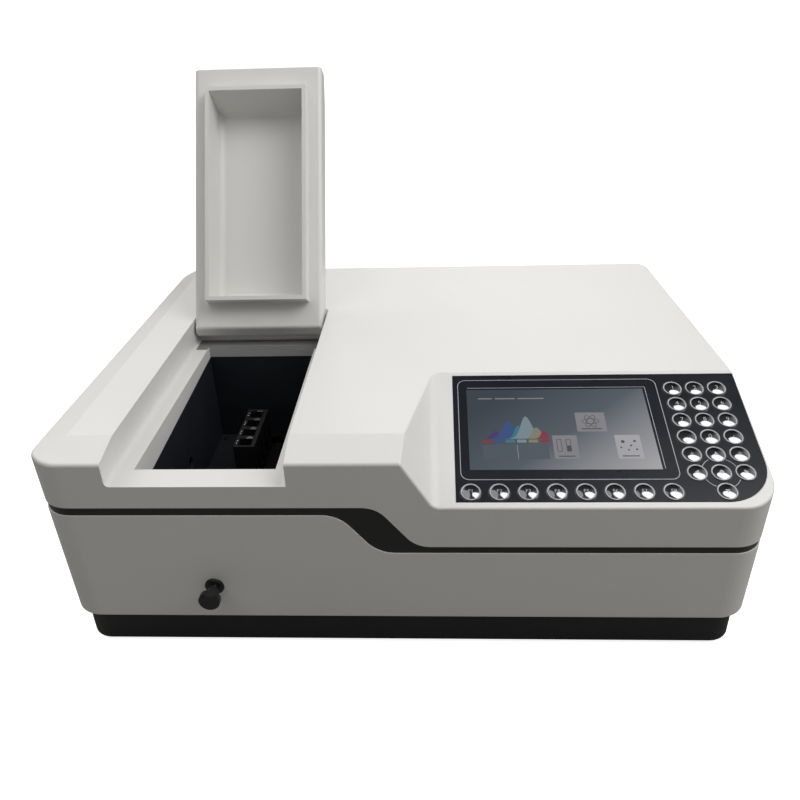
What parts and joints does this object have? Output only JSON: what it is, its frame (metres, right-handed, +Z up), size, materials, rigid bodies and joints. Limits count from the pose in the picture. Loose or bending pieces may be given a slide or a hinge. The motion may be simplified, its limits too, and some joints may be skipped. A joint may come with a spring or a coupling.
{
  "type": "spectrophotometer",
  "caption": "Bench spectrophotometer with a hinged lid over a sample well, a pull-rod cuvette carriage, and a sloped console with a display and round keys.",
  "frame": {"origin": "on the bench, under the middle of the bounding box", "axes": "+X to the user's right, +Y to the back, +Z up"},
  "size_m": [0.5781, 0.46, 0.4249],
  "materials": {
    "white_shell": "fine satin moulded plastic",
    "black_shell": "satin moulded plastic",
    "black_well": "matt light-absorbing finish",
    "rubber": "matt",
    "steel": "ground",
    "film": "glossy printed film",
    "screen_glass": "clear, glossy",
    "display": "lit display",
    "key_cap": "glossy domed cap",
    "circuit_board": "solder mask",
    "aluminium": "machined",
    "black_metal": "powder coat",
    "grey_metal": "powder coat",
    "lamp_glass": "clear",
    "mirror_glass": "front-silvered",
    "knob_black": "glossy moulded plastic"
  },
  "bodies": {
    "chassis": {"base_plinth": "black_shell", "rubber_feet": "rubber", "lower_housing": "white_shell", "trim_strip": "black_shell", "upper_cover": "white_shell", "compartment_tub": "black_well", "carriage_rails": "steel", "rod_bush": "knob_black", "hinge_pins": "steel", "keypad_overlay": "film", "lcd_glass": "screen_glass", "lcd_module": "display", "control_board": "circuit_board", "optical_bench": "aluminium", "monochromator_housing": "black_metal", "mirrors": "mirror_glass", "lamp_housing": "black_metal", "lamps": "lamp_glass", "detector_housing": "black_metal", "main_board": "circuit_board", "power_supply": "grey_metal", "rear_panel": "grey_metal", "fan_frame": "black_shell", "power_inlet": "black_shell", "data_ports": "steel"},
    "lid_body": {"lid": "white_shell"},
    "carriage": {"cuvette_holder": "black_well", "cell_springs": "steel", "pull_rod": "steel", "pull_knob": "knob_black"},
    "rocker": {"power_rocker": "knob_black"},
    "fan": {"fan_rotor": "black_shell"},
    "grating": {"grating_turntable": "aluminium"},
    "key_01_cap": {"key_01": "key_cap"},
    "key_02_cap": {"key_02": "key_cap"},
    "key_03_cap": {"key_03": "key_cap"},
    "key_04_cap": {"key_04": "key_cap"},
    "key_05_cap": {"key_05": "key_cap"},
    "key_06_cap": {"key_06": "key_cap"},
    "key_07_cap": {"key_07": "key_cap"},
    "key_08_cap": {"key_08": "key_cap"},
    "key_09_cap": {"key_09": "key_cap"},
    "key_10_cap": {"key_10": "key_cap"},
    "key_11_cap": {"key_11": "key_cap"},
    "key_12_cap": {"key_12": "key_cap"},
    "key_13_cap": {"key_13": "key_cap"},
    "key_14_cap": {"key_14": "key_cap"},
    "key_15_cap": {"key_15": "key_cap"},
    "key_16_cap": {"key_16": "key_cap"},
    "key_17_cap": {"key_17": "key_cap"},
    "key_18_cap": {"key_18": "key_cap"},
    "key_19_cap": {"key_19": "key_cap"},
    "key_20_cap": {"key_20": "key_cap"},
    "key_21_cap": {"key_21": "key_cap"},
    "key_22_cap": {"key_22": "key_cap"},
    "key_23_cap": {"key_23": "key_cap"},
    "key_24_cap": {"key_24": "key_cap"},
    "key_25_cap": {"key_25": "key_cap"},
    "key_26_cap": {"key_26": "key_cap"},
    "key_27_cap": {"key_27": "key_cap"}
  },
  "joints": [
    {"name": "lid_hinge", "type": "hinge", "parent": "chassis", "child": "lid_body", "pos_m": [-0.1572, 0.06265, 0.18175], "axis": [1, 0, 0], "range_deg": [0, 120]},
    {"name": "carriage_slide", "type": "slide", "parent": "chassis", "child": "carriage", "axis": [0, -1, 0], "range_m": [0, 0.0534]},
    {"name": "power_switch", "type": "hinge", "parent": "chassis", "child": "rocker", "pos_m": [0.1925, 0.224, 0.067], "axis": [1, 0, 0], "range_deg": [0, 16]},
    {"name": "fan_spin", "type": "hinge", "parent": "chassis", "child": "fan", "pos_m": [0.1, 0.22, 0.067], "axis": [0, 1, 0], "continuous": true},
    {"name": "grating_turn", "type": "hinge", "parent": "chassis", "child": "grating", "pos_m": [-0.02, 0.06, 0.06], "axis": [0, 0, 1], "range_deg": [-15, 35]},
    {"name": "key_01_press", "type": "slide", "parent": "chassis", "child": "key_01_cap", "axis": [0, 0.3313, -0.9435], "range_m": [0, 0.0006], "stiffness_N_per_m": 400, "springref_m": -0.0015},
    {"name": "key_02_press", "type": "slide", "parent": "chassis", "child": "key_02_cap", "axis": [0, 0.3313, -0.9435], "range_m": [0, 0.0006], "stiffness_N_per_m": 400, "springref_m": -0.0015},
    {"name": "key_03_press", "type": "slide", "parent": "chassis", "child": "key_03_cap", "axis": [0, 0.3313, -0.9435], "range_m": [0, 0.0006], "stiffness_N_per_m": 400, "springref_m": -0.0015},
    {"name": "key_04_press", "type": "slide", "parent": "chassis", "child": "key_04_cap", "axis": [0, 0.3313, -0.9435], "range_m": [0, 0.0006], "stiffness_N_per_m": 400, "springref_m": -0.0015},
    {"name": "key_05_press", "type": "slide", "parent": "chassis", "child": "key_05_cap", "axis": [0, 0.3313, -0.9435], "range_m": [0, 0.0006], "stiffness_N_per_m": 400, "springref_m": -0.0015},
    {"name": "key_06_press", "type": "slide", "parent": "chassis", "child": "key_06_cap", "axis": [0, 0.3313, -0.9435], "range_m": [0, 0.0006], "stiffness_N_per_m": 400, "springref_m": -0.0015},
    {"name": "key_07_press", "type": "slide", "parent": "chassis", "child": "key_07_cap", "axis": [0, 0.3313, -0.9435], "range_m": [0, 0.0006], "stiffness_N_per_m": 400, "springref_m": -0.0015},
    {"name": "key_08_press", "type": "slide", "parent": "chassis", "child": "key_08_cap", "axis": [0, 0.3313, -0.9435], "range_m": [0, 0.0006], "stiffness_N_per_m": 400, "springref_m": -0.0015},
    {"name": "key_09_press", "type": "slide", "parent": "chassis", "child": "key_09_cap", "axis": [0, 0.3313, -0.9435], "range_m": [0, 0.0006], "stiffness_N_per_m": 400, "springref_m": -0.0015},
    {"name": "key_10_press", "type": "slide", "parent": "chassis", "child": "key_10_cap", "axis": [0, 0.3313, -0.9435], "range_m": [0, 0.0006], "stiffness_N_per_m": 400, "springref_m": -0.0015},
    {"name": "key_11_press", "type": "slide", "parent": "chassis", "child": "key_11_cap", "axis": [0, 0.3313, -0.9435], "range_m": [0, 0.0006], "stiffness_N_per_m": 400, "springref_m": -0.0015},
    {"name": "key_12_press", "type": "slide", "parent": "chassis", "child": "key_12_cap", "axis": [0, 0.3313, -0.9435], "range_m": [0, 0.0006], "stiffness_N_per_m": 400, "springref_m": -0.0015},
    {"name": "key_13_press", "type": "slide", "parent": "chassis", "child": "key_13_cap", "axis": [0, 0.3313, -0.9435], "range_m": [0, 0.0006], "stiffness_N_per_m": 400, "springref_m": -0.0015},
    {"name": "key_14_press", "type": "slide", "parent": "chassis", "child": "key_14_cap", "axis": [0, 0.3313, -0.9435], "range_m": [0, 0.0006], "stiffness_N_per_m": 400, "springref_m": -0.0015},
    {"name": "key_15_press", "type": "slide", "parent": "chassis", "child": "key_15_cap", "axis": [0, 0.3313, -0.9435], "range_m": [0, 0.0006], "stiffness_N_per_m": 400, "springref_m": -0.0015},
    {"name": "key_16_press", "type": "slide", "parent": "chassis", "child": "key_16_cap", "axis": [0, 0.3313, -0.9435], "range_m": [0, 0.0006], "stiffness_N_per_m": 400, "springref_m": -0.0015},
    {"name": "key_17_press", "type": "slide", "parent": "chassis", "child": "key_17_cap", "axis": [0, 0.3313, -0.9435], "range_m": [0, 0.0006], "stiffness_N_per_m": 400, "springref_m": -0.0015},
    {"name": "key_18_press", "type": "slide", "parent": "chassis", "child": "key_18_cap", "axis": [0, 0.3313, -0.9435], "range_m": [0, 0.0006], "stiffness_N_per_m": 400, "springref_m": -0.0015},
    {"name": "key_19_press", "type": "slide", "parent": "chassis", "child": "key_19_cap", "axis": [0, 0.3313, -0.9435], "range_m": [0, 0.0006], "stiffness_N_per_m": 400, "springref_m": -0.0015},
    {"name": "key_20_press", "type": "slide", "parent": "chassis", "child": "key_20_cap", "axis": [0, 0.3313, -0.9435], "range_m": [0, 0.0006], "stiffness_N_per_m": 400, "springref_m": -0.0015},
    {"name": "key_21_press", "type": "slide", "parent": "chassis", "child": "key_21_cap", "axis": [0, 0.3313, -0.9435], "range_m": [0, 0.0006], "stiffness_N_per_m": 400, "springref_m": -0.0015},
    {"name": "key_22_press", "type": "slide", "parent": "chassis", "child": "key_22_cap", "axis": [0, 0.3313, -0.9435], "range_m": [0, 0.0006], "stiffness_N_per_m": 400, "springref_m": -0.0015},
    {"name": "key_23_press", "type": "slide", "parent": "chassis", "child": "key_23_cap", "axis": [0, 0.3313, -0.9435], "range_m": [0, 0.0006], "stiffness_N_per_m": 400, "springref_m": -0.0015},
    {"name": "key_24_press", "type": "slide", "parent": "chassis", "child": "key_24_cap", "axis": [0, 0.3313, -0.9435], "range_m": [0, 0.0006], "stiffness_N_per_m": 400, "springref_m": -0.0015},
    {"name": "key_25_press", "type": "slide", "parent": "chassis", "child": "key_25_cap", "axis": [0, 0.3313, -0.9435], "range_m": [0, 0.0006], "stiffness_N_per_m": 400, "springref_m": -0.0015},
    {"name": "key_26_press", "type": "slide", "parent": "chassis", "child": "key_26_cap", "axis": [0, 0.3313, -0.9435], "range_m": [0, 0.0006], "stiffness_N_per_m": 400, "springref_m": -0.0015},
    {"name": "key_27_press", "type": "slide", "parent": "chassis", "child": "key_27_cap", "axis": [0, 0.3313, -0.9435], "range_m": [0, 0.0006], "stiffness_N_per_m": 400, "springref_m": -0.0015}
  ]
}
